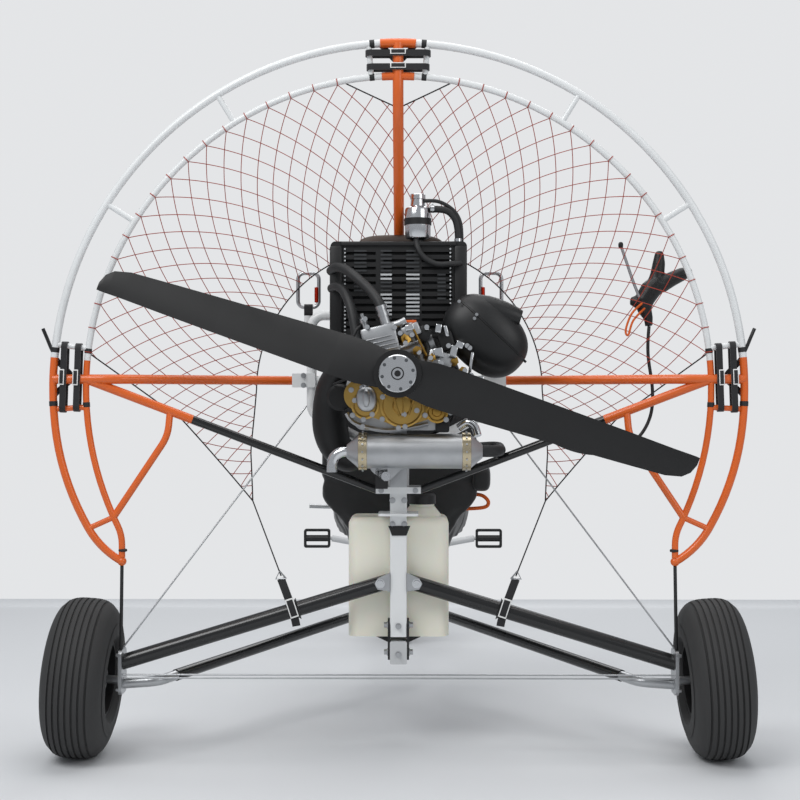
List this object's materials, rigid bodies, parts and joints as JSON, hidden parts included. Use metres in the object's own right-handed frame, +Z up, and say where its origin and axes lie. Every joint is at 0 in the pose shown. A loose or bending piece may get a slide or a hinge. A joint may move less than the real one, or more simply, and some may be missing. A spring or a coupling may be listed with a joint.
{
  "type": "paramotor trike",
  "caption": "Powered paraglider trike: pusher engine and propeller in a split hoop cage, on a tubular three-wheeled chassis with a reclined seat and a steered front wheel.",
  "frame": {"origin": "on the floor under the middle of the machine", "axes": "+X to the pilot's right, +Y forward towards the steered wheel, +Z up"},
  "size_m": [1.6292, 2.0799, 1.6637],
  "materials": {
    "orange_paint": "gloss",
    "white_paint": "gloss",
    "grey_paint": "satin",
    "black_paint": "gloss",
    "tyre_rubber": "matte",
    "black_rubber": "matte",
    "steel": "brushed",
    "chrome": "polished",
    "silver_metal": "satin",
    "gold_metal": "satin",
    "black_metal": "matte",
    "black_plastic": "matte",
    "blade_gloss": "satin",
    "tank_plastic": "translucent",
    "webbing": "woven",
    "seat_cloth": "woven",
    "dark_cable": "matte",
    "net_cord": "woven"
  },
  "bodies": {
    "frame": {"keel": "grey_paint", "mast": "white_paint", "hinge_plates": "black_metal", "leg_lugs": "steel", "rear_legs": "black_paint", "drag_struts": "black_paint", "axle_knuckles": "steel", "stay_wires": "steel", "cage_upper": "white_paint", "cage_lower": "orange_paint", "cage_top_spar": "orange_paint", "braces": "black_paint", "cage_straps": "webbing", "safety_net": "net_cord", "bungees": "black_rubber", "white_frame": "white_paint", "hang_loops": "webbing", "carabiners": "steel", "crankcase": "silver_metal", "gearbox_cover": "gold_metal", "starter": "black_metal", "cylinder": "silver_metal", "carburettor": "silver_metal", "airbox": "black_plastic", "radiator": "black_metal", "header_tank": "chrome", "coolant_hoses": "black_rubber", "exhaust_chamber": "black_metal", "muffler": "silver_metal", "muffler_bracket": "black_metal", "tailpipe": "chrome", "exhaust_hose": "black_rubber", "tank_cradle": "black_metal", "fuel_tank": "tank_plastic", "tank_cap": "black_plastic", "seat": "seat_cloth", "seat_brackets": "grey_paint", "throttle_grip": "black_plastic", "throttle_cable": "dark_cable"},
    "wheel_left": {"tyre_left": "tyre_rubber", "rim_left": "black_metal"},
    "wheel_right": {"tyre_right": "tyre_rubber", "rim_right": "black_metal"},
    "propeller": {"propeller": "blade_gloss", "hub_plate": "chrome"},
    "fork": {"fork": "grey_paint"},
    "wheel_front": {"tyre_front": "tyre_rubber", "rim_front": "black_metal"},
    "pedal_left": {"pedal_left": "black_plastic"},
    "pedal_right": {"pedal_right": "black_plastic"}
  },
  "joints": [
    {"name": "wheel_left_spin", "type": "hinge", "parent": "frame", "child": "wheel_left", "pos_m": [-0.735, -0.855, 0.18455], "axis": [-0.9976, 0, 0.0698], "continuous": true},
    {"name": "wheel_right_spin", "type": "hinge", "parent": "frame", "child": "wheel_right", "pos_m": [0.735, -0.855, 0.18455], "axis": [0.9976, 0, 0.0698], "continuous": true},
    {"name": "propeller_spin", "type": "hinge", "parent": "frame", "child": "propeller", "pos_m": [0, -0.99, 0.891], "axis": [0, 1, 0], "continuous": true},
    {"name": "steering", "type": "hinge", "parent": "frame", "child": "fork", "pos_m": [0, 0.85, 0.19], "axis": [0, -0.309, 0.9511], "range_deg": [-35, 35]},
    {"name": "wheel_front_spin", "type": "hinge", "parent": "fork", "child": "wheel_front", "pos_m": [0, 0.85, 0.19], "axis": [1, 0, 0], "continuous": true},
    {"name": "pedal_left_spin", "type": "hinge", "parent": "fork", "child": "pedal_left", "pos_m": [-0.294, 0.795, 0.358], "axis": [1, 0, 0], "continuous": true},
    {"name": "pedal_right_spin", "type": "hinge", "parent": "fork", "child": "pedal_right", "pos_m": [0.294, 0.795, 0.358], "axis": [1, 0, 0], "continuous": true}
  ]
}
